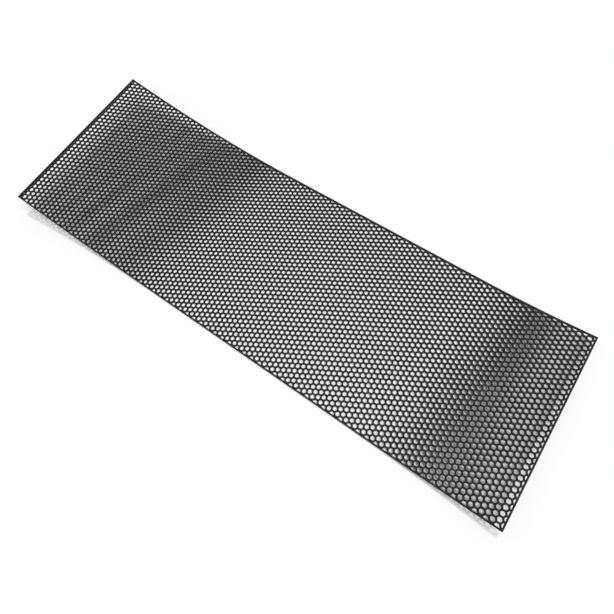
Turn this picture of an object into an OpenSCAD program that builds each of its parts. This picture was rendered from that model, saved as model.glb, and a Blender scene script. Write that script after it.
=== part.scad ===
// Honeycomb grille mesh: a thin moulded plastic sheet with a plain rim,
// lying on its flat middle with both ends curled up off the floor. The curl
// is a little askew, so one corner of each end stands higher than the other.
// Millimetres, +Z up, +X along the sheet, z = 0 under the flat middle.

/* [Sheet] */
// Length of the sheet before it curls
sheet_length = 1200; // [740:10:2000]
// Width of the sheet
sheet_width = 400; // [150:10:800]
// Thickness of the sheet
thickness = 3.6; // [1:0.1:6]
// Width of the plain rim round the mesh
rim_width = 3; // [1:0.1:10]

/* [Mesh] */
// Distance between neighbouring hole centres
hole_pitch = 11.05; // [6:0.01:30]
// Diameter of a hole
hole_diameter = 8.5; // [3:0.1:26]

/* [Curl] */
// Angle from the sheet's width to the axis that it curls about
curl_skew = 9.8; // [-20:0.1:20]
// Length of the curled end on the left, at the middle of the width
left_curl_length = 466; // [0:1:560]
// Radius that the left end curls to
left_curl_radius = 2090; // [800:10:20000]
// Length of the curled end on the right, at the middle of the width
right_curl_length = 258; // [0:1:560]
// Radius that the right end curls to
right_curl_radius = 1700; // [800:10:20000]

/* [Strips] */
// Number of strips that the sheet is drawn in
strip_count = 21; // [7:1:58]

/* [Hidden] */
half_length = sheet_length / 2;
half_width = sheet_width / 2;
cut_over = 1;

// Columns of holes stand side by side, every second one half a pitch along.
column_pitch = hole_pitch * sqrt(3) / 2;
column_count = 2 * round(half_length / column_pitch);
row_count = ceil(half_width / hole_pitch) + 1;
function hole_place(i, j) = [
    (i - (column_count - 1) / 2) * column_pitch,
    (j + (i % 2 == 0 ? 0.25 : -0.25)) * hole_pitch
];

// Turned by the skew, a place on the flat sheet is given by its run along
// the curl and its place along the curl's axis.
function turned(p) = [
    p[0] * cos(curl_skew) - p[1] * sin(curl_skew),
    p[0] * sin(curl_skew) + p[1] * cos(curl_skew)
];
function turned_back(p) = [
    p[0] * cos(curl_skew) + p[1] * sin(curl_skew),
    p[1] * cos(curl_skew) - p[0] * sin(curl_skew)
];
run_reach = half_length * cos(curl_skew) + half_width * abs(sin(curl_skew));
axis_reach = half_length * abs(sin(curl_skew)) + half_width * cos(curl_skew);

// Underside of the curled sheet at a run along the flat one. Each end bends
// to a steady radius from where it leaves the flat middle.
left_start = (left_curl_length - half_length) * cos(curl_skew);
right_start = (half_length - right_curl_length) * cos(curl_skew);
function left_turn(run) =
    max(0, left_start - run) / left_curl_radius * 180 / PI;
function right_turn(run) =
    max(0, run - right_start) / right_curl_radius * 180 / PI;
function curl_x(run) =
    run < left_start ? left_start - left_curl_radius * sin(left_turn(run)) :
    run > right_start ? right_start + right_curl_radius * sin(right_turn(run)) :
    run;
function curl_z(run) =
    left_curl_radius * (1 - cos(left_turn(run))) +
    right_curl_radius * (1 - cos(right_turn(run)));

// Middle of the curled sheet's box, from where its corners come to lie.
function curled(p) = turned_back([curl_x(turned(p)[0]), turned(p)[1]]);
corners = [
    for (end = [-1, 1], side = [-1, 1])
        curled([end * half_length, side * half_width])
];
function middle(values) = (min(values) + max(values)) / 2;
centre = [for (axis = [0, 1]) middle([for (corner = corners) corner[axis]])];

// Seams between strips lie along the curl's axis, evenly spaced. Each
// strip's underside is a chord of the curl.
function seam_run(k) =
    k <= 0 ? -run_reach :
    k >= strip_count ? run_reach :
    (k / strip_count * sheet_length - half_length) * cos(curl_skew);
function seam_point(k) = [curl_x(seam_run(k)), curl_z(seam_run(k))];
function strip_chord(k) = seam_point(k + 1) - seam_point(k);
function strip_length(k) = norm(strip_chord(k));
function strip_slope(k) = atan2(strip_chord(k)[1], strip_chord(k)[0]);

// Mitre at the start of strip k: how far its top edge is set back there, so
// that the strip meets its neighbour face to face.
function mitre(k) = thickness * tan((strip_slope(k) - strip_slope(k - 1)) / 2);
function strip_start(k) = k == 0 ? [-cut_over, -cut_over] : [0, mitre(k)];
function strip_end(k) =
    k == strip_count - 1
        ? [strip_length(k) + cut_over, strip_length(k) + cut_over]
        : [strip_length(k), strip_length(k) - mitre(k + 1)];

function meets_strip(k, run) =
    run > seam_run(k) - hole_diameter &&
    run < seam_run(k + 1) + hole_diameter;

function two_digits(n) = n < 10 ? str("0", n) : str(n);
function strip_name(k) = str("mesh_strip_", two_digits(k + 1));

// Lays the flat sheet over strip k's own plane.
module on_strip(k) {
    translate([-seam_run(k), 0])
        rotate(curl_skew)
            children();
}

// Prism of strip k with mitred ends, as long as the curl's axis needs.
module strip_prism(k) {
    rotate([90, 0, 0])
        linear_extrude(height = 2 * (axis_reach + cut_over), center = true)
            polygon([
                [strip_start(k)[0], 0],
                [strip_end(k)[0], 0],
                [strip_end(k)[1], thickness],
                [strip_start(k)[1], thickness]
            ]);
}

// Upright prism over an outline, through the sheet's thickness.
module through_sheet() {
    translate([0, 0, -cut_over])
        linear_extrude(height = thickness + 2 * cut_over)
            children();
}

// Outline of the sheet, drawn in from its edges.
module sheet_outline(inset) {
    square([sheet_length - 2 * inset, sheet_width - 2 * inset], center = true);
}

// Holes that strip k meets; the rim closes off those that reach under it.
module strip_holes(k) {
    intersection() {
        sheet_outline(rim_width);
        for (i = [0 : column_count - 1], j = [-row_count : row_count])
            if (meets_strip(k, turned(hole_place(i, j))[0]))
                translate(hole_place(i, j))
                    circle(d = hole_diameter, $fn = 32);
    }
}

// Strip k of the mesh, tilted and set in its place along the curl.
module mesh_strip(k) {
    color([0.03, 0.03, 0.03])
        translate([-centre[0], -centre[1], 0])
            rotate(-curl_skew)
                translate([seam_point(k)[0], 0, seam_point(k)[1]])
                    rotate([0, -strip_slope(k), 0])
                        difference() {
                            intersection() {
                                strip_prism(k);
                                through_sheet() on_strip(k) sheet_outline(0);
                            }
                            through_sheet() on_strip(k) strip_holes(k);
                        }
}

for (k = [0 : strip_count - 1])
    mesh_strip(k);
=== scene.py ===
"""Honeycomb grille mesh sheet on a white studio floor.

The sheet is one thin moulding of satin black plastic with a plain rim. Its
flat middle lies on the floor and both ends curl up, a little askew. It is
built in strips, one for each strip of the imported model, with honeycomb
holes, softened top edges and walls square to the curled sheet. Neighbouring
strips meet in the bars, so no hole is cut. Lengths are in metres.
"""

from __future__ import annotations

import logging
import math
from dataclasses import dataclass, field
from enum import Enum
from functools import cached_property

import bpy
from mathutils import Matrix, Vector
from mathutils.geometry import delaunay_2d_cdt


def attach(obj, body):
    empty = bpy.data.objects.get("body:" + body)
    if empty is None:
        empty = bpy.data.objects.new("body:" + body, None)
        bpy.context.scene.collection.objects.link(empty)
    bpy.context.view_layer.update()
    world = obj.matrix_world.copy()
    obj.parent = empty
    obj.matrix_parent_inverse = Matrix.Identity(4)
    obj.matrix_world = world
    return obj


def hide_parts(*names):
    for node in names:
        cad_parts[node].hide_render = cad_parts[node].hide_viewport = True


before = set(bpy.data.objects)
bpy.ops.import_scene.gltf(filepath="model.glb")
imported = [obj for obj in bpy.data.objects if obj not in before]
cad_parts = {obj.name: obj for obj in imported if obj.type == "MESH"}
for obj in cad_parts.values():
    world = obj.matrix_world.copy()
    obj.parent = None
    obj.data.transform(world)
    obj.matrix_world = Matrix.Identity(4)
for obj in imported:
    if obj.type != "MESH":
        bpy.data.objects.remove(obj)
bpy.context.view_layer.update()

log = logging.getLogger("grille_mesh")

Point2 = tuple[float, float]
Loop = list[Point2]

MM = 0.001
INSIDE_ONLY = 1
WELD = 1e-9
SHARP_ANGLE = math.radians(40)


class Skin(Enum):
    """Which broad face of the sheet a triangulation covers."""

    TOP = "top"
    UNDERSIDE = "underside"


@dataclass(frozen=True)
class SatinPlastic:
    """Satin black moulded plastic with a fine spark-eroded grain.

    Args:
        colour: Base colour of the plastic, linear.
        gloss: Strength of the plastic's reflections.
        refraction: Refractive index of the plastic.
        roughness_low: Roughness where the mould was polished most.
        roughness_high: Roughness where the grain is strongest.
        grain_size: Size of the grain.
        grain_depth: Depth of the grain's bump.
        grain_strength: Share of the bump that shows.
        grain_shade: Darkest and palest share of the colour in the grain.
        grain_detail: Octaves of finer noise in the grain.
        cloud_size: Size of the slow changes in sheen.
        cloud_range: Noise levels between which the sheen changes.
        cloud_detail: Octaves of finer noise in the sheen.
    """

    colour: tuple[float, float, float] = (0.005, 0.005, 0.0052)
    gloss: float = 0.17
    refraction: float = 1.53
    roughness_low: float = 0.5
    roughness_high: float = 0.66
    grain_size: float = 0.35 * MM
    grain_depth: float = 0.02 * MM
    grain_strength: float = 0.6
    grain_shade: Point2 = (0.8, 1.25)
    grain_detail: float = 2.0
    cloud_size: float = 45 * MM
    cloud_range: Point2 = (0.3, 0.7)
    cloud_detail: float = 3.0

    def material(self) -> bpy.types.Material:
        """Make the material from noise in object space.

        Returns:
            The finished material.
        """
        made = bpy.data.materials.new("satin_black_plastic")
        made.use_nodes = True
        tree = made.node_tree
        shader = tree.nodes["Principled BSDF"]
        shader.inputs["Specular IOR Level"].default_value = self.gloss
        shader.inputs["IOR"].default_value = self.refraction

        place = tree.nodes.new("ShaderNodeTexCoord")
        clouds = self._noise(tree, place, self.cloud_size, self.cloud_detail)
        grain = self._noise(tree, place, self.grain_size, self.grain_detail)

        sheen = tree.nodes.new("ShaderNodeMapRange")
        sheen.inputs["From Min"].default_value = self.cloud_range[0]
        sheen.inputs["From Max"].default_value = self.cloud_range[1]
        sheen.inputs["To Min"].default_value = self.roughness_low
        sheen.inputs["To Max"].default_value = self.roughness_high
        tree.links.new(clouds.outputs["Fac"], sheen.inputs["Value"])
        tree.links.new(sheen.outputs["Result"], shader.inputs["Roughness"])

        shade = tree.nodes.new("ShaderNodeMix")
        shade.data_type = "RGBA"
        for socket, share in zip(("A", "B"), self.grain_shade):
            tint = tuple(share * part for part in self.colour)
            shade.inputs[socket].default_value = (*tint, 1.0)
        tree.links.new(grain.outputs["Fac"], shade.inputs["Factor"])
        tree.links.new(shade.outputs["Result"], shader.inputs["Base Color"])

        bump = tree.nodes.new("ShaderNodeBump")
        bump.inputs["Strength"].default_value = self.grain_strength
        bump.inputs["Distance"].default_value = self.grain_depth
        tree.links.new(grain.outputs["Fac"], bump.inputs["Height"])
        tree.links.new(bump.outputs["Normal"], shader.inputs["Normal"])
        return made

    def _noise(
        self,
        tree: bpy.types.NodeTree,
        place: bpy.types.Node,
        size: float,
        detail: float,
    ) -> bpy.types.Node:
        """Add a noise texture whose blobs have a given size.

        Args:
            tree: Node tree that takes the texture.
            place: Texture coordinate node.
            size: Size of one blob.
            detail: Octaves of finer noise.

        Returns:
            The noise node.
        """
        noise = tree.nodes.new("ShaderNodeTexNoise")
        noise.inputs["Scale"].default_value = 1.0 / size
        noise.inputs["Detail"].default_value = detail
        tree.links.new(place.outputs["Object"], noise.inputs["Vector"])
        return noise


@dataclass(frozen=True)
class WhiteFloor:
    """Matt white studio paper.

    Args:
        colour: Colour of the paper, linear.
        roughness: Roughness of the paper.
        gloss: Strength of the paper's reflections.
    """

    colour: tuple[float, float, float] = (0.97, 0.97, 0.97)
    roughness: float = 0.9
    gloss: float = 0.1

    def material(self) -> bpy.types.Material:
        """Make the paper's material.

        Returns:
            The finished material.
        """
        made = bpy.data.materials.new("white_paper")
        made.use_nodes = True
        shader = made.node_tree.nodes["Principled BSDF"]
        shader.inputs["Base Color"].default_value = (*self.colour, 1.0)
        shader.inputs["Roughness"].default_value = self.roughness
        shader.inputs["Specular IOR Level"].default_value = self.gloss
        return made


@dataclass(frozen=True)
class Curl:
    """Curved surface that the sheet's underside follows.

    Args:
        sheet_length: Length of the sheet before it curls.
        sheet_width: Width of the sheet.
        skew: Angle from the sheet's width to the axis that it curls about.
        left_length: Length of the curled end on the left.
        left_radius: Radius that the left end curls to.
        right_length: Length of the curled end on the right.
        right_radius: Radius that the right end curls to.
    """

    sheet_length: float = 1200 * MM
    sheet_width: float = 400 * MM
    skew: float = math.radians(9.8)
    left_length: float = 466 * MM
    left_radius: float = 2090 * MM
    right_length: float = 258 * MM
    right_radius: float = 1700 * MM

    def turned(self, along: float, across: float) -> Point2:
        """Run along the curl and place along its axis.

        Args:
            along: Place along the flat sheet, from its middle.
            across: Place across the flat sheet, from its middle.

        Returns:
            The run, square to the curl's axis, and the place along it.
        """
        turn, lean = math.cos(self.skew), math.sin(self.skew)
        return along * turn - across * lean, along * lean + across * turn

    def turned_back(self, run: float, axis: float) -> Point2:
        """Place on the sheet for a run and a place along the curl's axis."""
        turn, lean = math.cos(self.skew), math.sin(self.skew)
        return run * turn + axis * lean, axis * turn - run * lean

    def bent(self, run: float) -> tuple[float, float, float]:
        """Underside of the curled sheet at a run.

        Args:
            run: Run along the flat sheet, square to the curl's axis.

        Returns:
            Run, height and slope angle of the curled sheet there.
        """
        half = self.sheet_length / 2
        left_start = (self.left_length - half) * math.cos(self.skew)
        right_start = (half - self.right_length) * math.cos(self.skew)
        if run < left_start:
            slope = (run - left_start) / self.left_radius
            start, radius = left_start, self.left_radius
        elif run > right_start:
            slope = (run - right_start) / self.right_radius
            start, radius = right_start, self.right_radius
        else:
            return run, 0.0, 0.0
        return (
            start + radius * math.sin(slope),
            radius * (1 - math.cos(slope)),
            slope,
        )

    @cached_property
    def centre(self) -> Point2:
        """Middle of the curled sheet's box, from its four corners."""
        corners: Loop = []
        for end in (-self.sheet_length / 2, self.sheet_length / 2):
            for side in (-self.sheet_width / 2, self.sheet_width / 2):
                run, axis = self.turned(end, side)
                corners.append(self.turned_back(self.bent(run)[0], axis))
        xs, ys = zip(*corners)
        return (min(xs) + max(xs)) / 2, (min(ys) + max(ys)) / 2

    def place(self, along: float, across: float, height: float) -> Vector:
        """Put a point of the flat sheet on the curled one.

        Args:
            along: Place along the flat sheet, from its middle.
            across: Place across the flat sheet, from its middle.
            height: Height above the underside, square to the sheet.

        Returns:
            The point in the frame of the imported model.
        """
        run, axis = self.turned(along, across)
        reach, rise, slope = self.bent(run)
        x, y = self.turned_back(reach - height * math.sin(slope), axis)
        z = rise + height * math.cos(slope)
        return Vector((x - self.centre[0], y - self.centre[1], z))


@dataclass(frozen=True)
class Honeycomb:
    """Field of hexagonal holes with rounded corners, flats facing across.

    Args:
        pitch: Distance between neighbouring hole centres.
        flats: Size of a hole across its flats.
        corner_radius: Radius of a hole's corners.
        corner_steps: Straight steps in one rounded corner.
    """

    pitch: float = 11.05 * MM
    flats: float = 7.85 * MM
    corner_radius: float = 1.35 * MM
    corner_steps: int = 2

    @property
    def column_pitch(self) -> float:
        """Distance between neighbouring columns of holes."""
        return self.pitch * math.sqrt(3) / 2

    def columns(self, sheet_length: float) -> int:
        """Number of columns along a sheet.

        Args:
            sheet_length: Length of the sheet.

        Returns:
            The number of columns, an even one.
        """
        return 2 * round(sheet_length / 2 / self.column_pitch)

    def level(self, number: int) -> float:
        """Place across the sheet of one of the levels that holes lie on."""
        return (number + 0.5) * self.pitch / 2

    def level_beside(self, column: int, band: int) -> int:
        """Level of a column's hole that meets the band above a level.

        Args:
            column: Number of the column.
            band: Number of the level under the band.

        Returns:
            Number of the hole's level; holes of a column take every second.
        """
        return band if (band - column) % 2 == 0 else band + 1

    def outline(self, centre: Point2) -> Loop:
        """Outline of one hole, counter-clockwise.

        Args:
            centre: Centre of the hole on the flat sheet.

        Returns:
            Points of the outline.
        """
        reach = (self.flats / 2 - self.corner_radius) / math.cos(math.pi / 6)
        points: Loop = []
        for corner in range(6):
            middle = corner * math.pi / 3
            hub = (
                centre[0] + reach * math.cos(middle),
                centre[1] + reach * math.sin(middle),
            )
            for step in range(self.corner_steps + 1):
                share = step / self.corner_steps - 0.5
                angle = middle + share * math.pi / 3
                points.append((
                    hub[0] + self.corner_radius * math.cos(angle),
                    hub[1] + self.corner_radius * math.sin(angle),
                ))
        return points


class Outline:
    """Plain geometry of closed outlines on the flat sheet."""

    @staticmethod
    def clipped(loop: Loop, low: Point2, high: Point2) -> Loop:
        """Keep what of a convex outline lies in a rectangle.

        Args:
            loop: Convex outline.
            low: Lowest corner of the rectangle.
            high: Highest corner of the rectangle.

        Returns:
            The outline that is left, empty where nothing is.
        """
        for axis in (0, 1):
            for limit, sign in ((low[axis], 1.0), (high[axis], -1.0)):
                kept: Loop = []
                for here, after in zip(loop, loop[1:] + loop[:1]):
                    depth_here = sign * (here[axis] - limit)
                    depth_after = sign * (after[axis] - limit)
                    if depth_here >= 0:
                        kept.append(here)
                    if depth_here * depth_after < 0:
                        share = depth_here / (depth_here - depth_after)
                        kept.append((
                            here[0] + share * (after[0] - here[0]),
                            here[1] + share * (after[1] - here[1]),
                        ))
                loop = kept
                if len(loop) < 3:
                    return []
        return loop

    @staticmethod
    def grown(loop: Loop, distance: float) -> Loop:
        """Move each side of a counter-clockwise outline outwards.

        Args:
            loop: Convex outline.
            distance: How far the sides move.

        Returns:
            The grown outline, with as many points.
        """
        points: Loop = []
        for before, here, after in zip(
            loop[-1:] + loop[:-1], loop, loop[1:] + loop[:1]
        ):
            first = Vector((here[1] - before[1], before[0] - here[0]))
            second = Vector((after[1] - here[1], here[0] - after[0]))
            first.normalize()
            second.normalize()
            mitre = (first + second) / (1 + first.dot(second))
            points.append((
                here[0] + distance * mitre.x,
                here[1] + distance * mitre.y,
            ))
        return points

    @staticmethod
    def area(loop: Loop) -> float:
        """Area inside an outline."""
        pairs = zip(loop, loop[1:] + loop[:1])
        return sum(a[0] * b[1] - b[0] * a[1] for a, b in pairs) / 2


@dataclass
class StripMesh:
    """Points and faces of one strip while it is being made.

    Args:
        curl: Curved surface that the sheet follows.
        points: Points made so far.
        faces: Faces made so far, as indices of points.
    """

    curl: Curl
    points: list[Vector] = field(default_factory=list)
    faces: list[tuple[int, ...]] = field(default_factory=list)

    def ring(self, loop: Loop, height: float) -> list[int]:
        """Add the points of a closed outline at one height.

        Args:
            loop: Outline on the flat sheet.
            height: Height above the underside.

        Returns:
            Indices of the new points.
        """
        first = len(self.points)
        for along, across in loop:
            self.points.append(self.curl.place(along, across, height))
        return list(range(first, len(self.points)))

    def band(self, lower: list[int], upper: list[int]) -> None:
        """Join two rings of equal length with a band of quads.

        Args:
            lower: Ring that the band starts from.
            upper: Ring that the band ends on.
        """
        count = len(lower)
        for n in range(count):
            m = (n + 1) % count
            self.faces.append((lower[n], lower[m], upper[m], upper[n]))

    def plate(
        self,
        border: Loop,
        border_ring: list[int],
        holes: list[Loop],
        hole_rings: list[list[int]],
        skin: Skin,
    ) -> None:
        """Fill the sheet between its border and its holes with triangles.

        Args:
            border: Outer outline on the flat sheet.
            border_ring: Indices of the border's points.
            holes: Outlines of the holes.
            hole_rings: Indices of the holes' points.
            skin: Broad face that the triangles belong to.
        """
        flat: list[Vector] = []
        index: list[int] = []
        edges: list[tuple[int, int]] = []
        owner: list[int] = []
        rings = [border_ring, *hole_rings]
        for number, (loop, ring) in enumerate(zip([border, *holes], rings)):
            first = len(flat)
            count = len(loop)
            flat.extend(Vector(point) for point in loop)
            index.extend(ring)
            owner.extend([number] * count)
            edges.extend(
                (first + n, first + (n + 1) % count) for n in range(count)
            )
        result = delaunay_2d_cdt(flat, edges, [], INSIDE_ONLY, WELD)
        source = [origin[0] for origin in result[3]]
        for triangle in result[2]:
            corners = [source[n] for n in triangle]
            owners = {owner[n] for n in corners}
            if len(owners) == 1 and owners != {0}:
                continue
            a, b, c = (flat[n] for n in corners)
            turn = (b - a).cross(c - a)
            if (turn > 0) != (skin is Skin.TOP):
                corners.reverse()
            self.faces.append(tuple(index[n] for n in corners))

    def object(self, name: str) -> bpy.types.Object:
        """Make the Blender object.

        Args:
            name: Name of the object.

        Returns:
            The new object, linked to the scene.
        """
        mesh = bpy.data.meshes.new(name)
        mesh.from_pydata(self.points, [], self.faces)
        mesh.validate()
        mesh.shade_smooth()
        mesh.set_sharp_from_angle(angle=SHARP_ANGLE)
        made = bpy.data.objects.new(name, mesh)
        bpy.context.scene.collection.objects.link(made)
        return made


@dataclass
class MeshSheet:
    """The moulded sheet, made strip by strip.

    Args:
        thickness: Thickness of the sheet.
        rim: Width of the plain rim.
        edge_radius: Radius of the softened top edges.
        edge_steps: Straight steps in a softened edge.
        strips: Number of strips.
        border_step: Longest straight step along the sheet's edges.
        least_hole: Smallest cut hole, as a share of the flats squared.
        least_gap: Points of a seam nearer than this are one point.
        curl: Curved surface that the sheet follows.
        honeycomb: Field of holes.
        finish: Finish of the plastic.
    """

    thickness: float = 3.6 * MM
    rim: float = 3 * MM
    edge_radius: float = 0.25 * MM
    edge_steps: int = 2
    strips: int = 21
    border_step: float = 10 * MM
    least_hole: float = 0.02
    least_gap: float = 0.1105 * MM
    curl: Curl = field(default_factory=Curl)
    honeycomb: Honeycomb = field(default_factory=Honeycomb)
    finish: SatinPlastic = field(default_factory=SatinPlastic)

    @property
    def half_long(self) -> float:
        """Half the length of the flat sheet."""
        return self.curl.sheet_length / 2

    @property
    def half_wide(self) -> float:
        """Half the width of the flat sheet."""
        return self.curl.sheet_width / 2

    def column_place(self, column: int) -> float:
        """Place along the flat sheet of a column of holes."""
        columns = self.honeycomb.columns(self.curl.sheet_length)
        return (column - (columns - 1) / 2) * self.honeycomb.column_pitch

    def seam_run(self, strip: int) -> float:
        """Run along the curl at which a strip starts.

        Args:
            strip: Number of the strip, from 0; the number of strips gives
                the far end of the last one.

        Returns:
            The run, beyond the sheet for its own two ends.
        """
        if strip <= 0 or strip >= self.strips:
            return math.copysign(self.curl.sheet_length, strip - 0.5)
        even = strip / self.strips * self.curl.sheet_length - self.half_long
        return even * math.cos(self.curl.skew)

    def columns_before(self, strip: int, band: int) -> int:
        """Number of columns before a strip in the band above a level.

        Args:
            strip: Number of the strip.
            band: Number of the level under the band.

        Returns:
            How many columns have their hole before the strip's seam.
        """
        before = 0
        for column in range(self.honeycomb.columns(self.curl.sheet_length)):
            level = self.honeycomb.level_beside(column, band)
            run, _ = self.curl.turned(
                self.column_place(column), self.honeycomb.level(level)
            )
            before += run < self.seam_run(strip)
        return before

    def end_line(self, along: float, inset: float) -> Loop:
        """Straight end of the sheet, from the near edge to the far one.

        Args:
            along: Place of the end along the flat sheet.
            inset: How far the sheet's edges draw in.

        Returns:
            Points of the end.
        """
        side = self.half_wide - inset
        return self.stepped((along, -side), (along, side))

    def seam_line(self, strip: int, inset: float) -> Loop:
        """Seam at the start of a strip, midway between holes.

        Args:
            strip: Number of the strip.
            inset: How far the sheet's edges draw in.

        Returns:
            Points of the seam, from the near edge to the far one.
        """
        comb = self.honeycomb
        if strip == 0:
            return self.end_line(inset - self.half_long, inset)
        if strip == self.strips:
            return self.end_line(self.half_long - inset, inset)
        lean = comb.pitch / math.sqrt(3) / 4
        last = math.floor(2 * self.half_wide / comb.pitch - 0.5)
        side = self.half_wide - inset
        line: Loop = []
        # Each band between two levels is crossed by one slanting bar.
        for band in range(-last - 2, last + 1):
            column = self.columns_before(strip, band)
            middle = self.column_place(column) - comb.column_pitch / 2
            falls = comb.level_beside(column - 1, band) == band
            for level, sign in ((band, 1.0), (band + 1, -1.0)):
                place = comb.level(level)
                share = sign if falls else -sign
                over = abs(place) - side
                # A bar that runs past the sheet's edge is cut off there.
                if over > 0:
                    share *= 1 - 4 * over / comb.pitch
                    place = math.copysign(side, place)
                point = (middle + share * lean, place)
                if not line or math.dist(point, line[-1]) > self.least_gap:
                    line.append(point)
        return line

    def stepped(self, start: Point2, end: Point2) -> Loop:
        """Line cut into even steps, both ends among its points.

        Args:
            start: First point.
            end: Last point.

        Returns:
            Points of the line.
        """
        steps = math.ceil(math.dist(start, end) / self.border_step)
        return [
            (
                start[0] + (end[0] - start[0]) * step / steps,
                start[1] + (end[1] - start[1]) * step / steps,
            )
            for step in range(steps + 1)
        ]

    def border(self, strip: int, inset: float) -> Loop:
        """Outline of a strip, drawn in from the sheet's own edges.

        Args:
            strip: Number of the strip.
            inset: How far the sheet's edges draw in; seams stay.

        Returns:
            The outline on the flat sheet, counter-clockwise.
        """
        start = self.seam_line(strip, inset)
        end = self.seam_line(strip + 1, inset)
        near = self.stepped(start[0], end[0])
        far = self.stepped(end[-1], start[-1])
        return near[:-1] + end[:-1] + far[:-1] + start[:0:-1]

    def holes(self, strip: int) -> list[Loop]:
        """Outlines of a strip's holes, as the rim leaves them.

        Args:
            strip: Number of the strip.

        Returns:
            The outlines on the flat sheet.
        """
        comb = self.honeycomb
        high = (self.half_long - self.rim, self.half_wide - self.rim)
        low = (-high[0], -high[1])
        levels = math.ceil(2 * self.half_wide / comb.pitch) + 1
        least = self.least_hole * comb.flats**2
        found: list[Loop] = []
        for column in range(comb.columns(self.curl.sheet_length)):
            for level in range(-levels, levels):
                centre = (self.column_place(column), comb.level(level))
                run, _ = self.curl.turned(*centre)
                if comb.level_beside(column, level) != level:
                    continue
                if not self.seam_run(strip) <= run < self.seam_run(strip + 1):
                    continue
                loop = Outline.clipped(comb.outline(centre), low, high)
                if loop and Outline.area(loop) > least:
                    found.append(loop)
        return found

    def softening(self) -> list[tuple[float, float]]:
        """Steps of the softened edge, from the wall to the top.

        Returns:
            Pairs of a distance into the plastic and a height.
        """
        steps: list[tuple[float, float]] = []
        for step in range(self.edge_steps + 1):
            turn = math.pi / 2 * step / self.edge_steps
            steps.append((
                self.edge_radius * (1 - math.cos(turn)),
                self.thickness - self.edge_radius * (1 - math.sin(turn)),
            ))
        return steps

    def build_strip(self, strip: int) -> bpy.types.Object:
        """Build one strip as a closed mesh.

        Args:
            strip: Number of the strip, from 0.

        Returns:
            The strip's object.
        """
        made = StripMesh(self.curl)
        holes = self.holes(strip)
        border = self.border(strip, 0.0)
        border_ring = made.ring(border, 0.0)
        hole_rings = [made.ring(loop, 0.0) for loop in holes]
        made.plate(border, border_ring, holes, hole_rings, Skin.UNDERSIDE)
        top_border = border
        top_holes = holes
        for inset, height in self.softening():
            top_border = self.border(strip, inset)
            upper = made.ring(top_border, height)
            made.band(border_ring, upper)
            border_ring = upper
            top_holes = [Outline.grown(loop, inset) for loop in holes]
            uppers = [made.ring(loop, height) for loop in top_holes]
            for lower, ring in zip(hole_rings, uppers):
                made.band(ring, lower)
            hole_rings = uppers
        made.plate(top_border, border_ring, top_holes, hole_rings, Skin.TOP)
        return made.object(f"moulded_strip_{strip + 1:02d}")

    def build(self) -> list[bpy.types.Object]:
        """Build every strip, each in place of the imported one.

        Returns:
            The strips' objects.
        """
        pieces: list[bpy.types.Object] = []
        for strip in range(self.strips):
            piece = self.build_strip(strip)
            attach(piece, "root")
            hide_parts(f"mesh_strip_{strip + 1:02d}")
            pieces.append(piece)
            log.info("%s: %d faces", piece.name, len(piece.data.polygons))
        return pieces

    def dress(self, pieces: list[bpy.types.Object]) -> None:
        """Give every strip the plastic's finish.

        Args:
            pieces: The strips' objects.
        """
        plastic = self.finish.material()
        for piece in pieces:
            piece.data.materials.append(plastic)


@dataclass(frozen=True)
class SoftLamp:
    """A wide distant lamp.

    Args:
        name: Name of the lamp.
        tilt: Run of the direction to the lamp along x and y per rise.
        spread: Angular size of the lamp in degrees.
        strength: Strength of the lamp.
        distance: How far off the lamp hangs.
    """

    name: str
    tilt: Point2
    spread: float
    strength: float
    distance: float = 3.0

    def hung(self) -> bpy.types.Object:
        """Make the lamp, turned to the sheet.

        Returns:
            The lamp's object.
        """
        lamp = bpy.data.lights.new(self.name, "SUN")
        lamp.energy = self.strength
        lamp.angle = math.radians(self.spread)
        made = bpy.data.objects.new(self.name, lamp)
        towards = Vector((*self.tilt, 1.0)).normalized()
        made.rotation_euler = towards.to_track_quat("Z", "Y").to_euler()
        made.location = towards * self.distance
        return made


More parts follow.
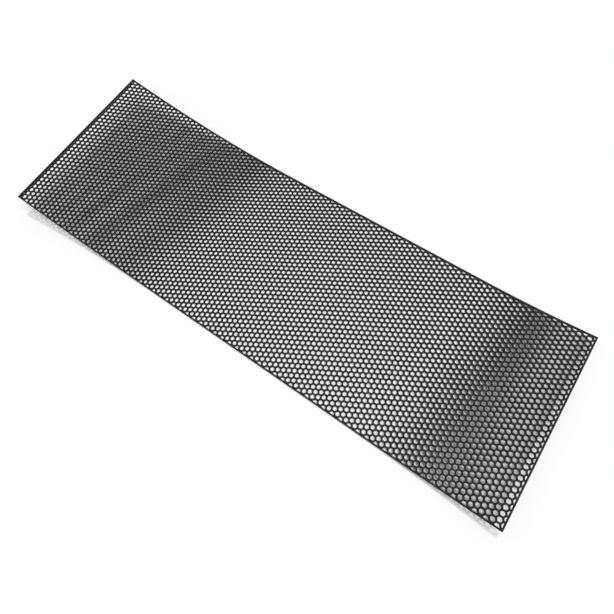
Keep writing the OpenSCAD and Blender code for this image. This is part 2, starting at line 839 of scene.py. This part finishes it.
@dataclass
class Studio:
    """Floor, light and camera.

    Args:
        floor_size: Side of the square floor.
        floor_drop: How far the floor lies below the sheet's underside.
        lamps: Distant lamps that light the sheet.
        fill: Strength of the even light from all round.
        camera_place: Place of the camera.
        camera_forward: Direction that the camera looks in.
        camera_roll: Turn of the camera about that direction in degrees.
        focal_pixels: Focal length in pixels of the picture.
        picture: Width of the picture in pixels.
        sensor: Width of the camera's sensor in millimetres.
        near_limit: Nearest distance that the camera sees.
        paper: Finish of the floor.
    """

    floor_size: float = 12.0
    floor_drop: float = 0.1 * MM
    lamps: tuple[SoftLamp, ...] = (
        SoftLamp("key_light", (0.45, 0.05), 34.0, 1.6),
        SoftLamp("side_light", (-0.15, 0.4), 7.4, 0.85),
    )
    fill: float = 0.33
    camera_place: tuple[float, float, float] = (0.3394, -0.2819, 0.8446)
    camera_forward: tuple[float, float, float] = (-0.2632, 0.2604, -0.9289)
    camera_roll: float = -11.17
    focal_pixels: float = 440.83
    picture: float = 614.0
    sensor: float = 36.0
    near_limit: float = 0.01
    paper: WhiteFloor = field(default_factory=WhiteFloor)

    def floor(self) -> bpy.types.Object:
        """Lay the floor.

        Returns:
            The floor's object.
        """
        half = self.floor_size / 2
        mesh = bpy.data.meshes.new("studio_floor")
        corners = [(-half, -half), (half, -half), (half, half), (-half, half)]
        mesh.from_pydata(
            [(x, y, -self.floor_drop) for x, y in corners], [], [(0, 1, 2, 3)]
        )
        mesh.materials.append(self.paper.material())
        made = bpy.data.objects.new("studio_floor", mesh)
        bpy.context.scene.collection.objects.link(made)
        return made

    def light(self) -> None:
        """Hang the lamps and fill the room with even light.

        What the camera and reflections see of the room is plain white.
        """
        for lamp in self.lamps:
            bpy.context.scene.collection.objects.link(lamp.hung())

        world = bpy.data.worlds.new("studio")
        world.use_nodes = True
        tree = world.node_tree
        sky = tree.nodes["Background"]
        sky.inputs["Color"].default_value = (1.0, 1.0, 1.0, 1.0)
        path = tree.nodes.new("ShaderNodeLightPath")
        seen = path.outputs["Is Camera Ray"]
        for ray in ("Is Glossy Ray", "Is Transmission Ray"):
            either = tree.nodes.new("ShaderNodeMath")
            either.operation = "MAXIMUM"
            tree.links.new(seen, either.inputs[0])
            tree.links.new(path.outputs[ray], either.inputs[1])
            seen = either.outputs["Value"]
        level = tree.nodes.new("ShaderNodeMapRange")
        level.inputs["To Min"].default_value = self.fill
        level.inputs["To Max"].default_value = 1.0
        tree.links.new(seen, level.inputs["Value"])
        tree.links.new(level.outputs["Result"], sky.inputs["Strength"])
        bpy.context.scene.world = world

    def camera(self) -> None:
        """Set the camera at the photograph's viewpoint."""
        lens = bpy.data.cameras.new("camera")
        lens.sensor_fit = "HORIZONTAL"
        lens.sensor_width = self.sensor
        lens.lens = self.sensor * self.focal_pixels / self.picture
        lens.clip_start = self.near_limit
        made = bpy.data.objects.new("camera", lens)
        forward = Vector(self.camera_forward).normalized()
        aim = forward.to_track_quat("-Z", "Y").to_matrix().to_4x4()
        roll = Matrix.Rotation(math.radians(self.camera_roll), 4, "Z")
        made.matrix_world = Matrix.Translation(self.camera_place) @ aim @ roll
        bpy.context.scene.collection.objects.link(made)
        bpy.context.scene.camera = made


def main() -> None:
    """Build the sheet and the studio, and log a line on each."""
    logging.basicConfig(level=logging.INFO, format="%(message)s")
    sheet = MeshSheet()
    pieces = sheet.build()
    sheet.dress(pieces)
    log.info("sheet: %d strips in satin black plastic", len(pieces))

    studio = Studio()
    studio.floor()
    studio.light()
    studio.camera()
    bpy.context.scene.view_settings.view_transform = "Standard"
    log.info("studio: floor, %d lamps, fill and camera", len(studio.lamps))


if __name__ == "__main__":
    main()
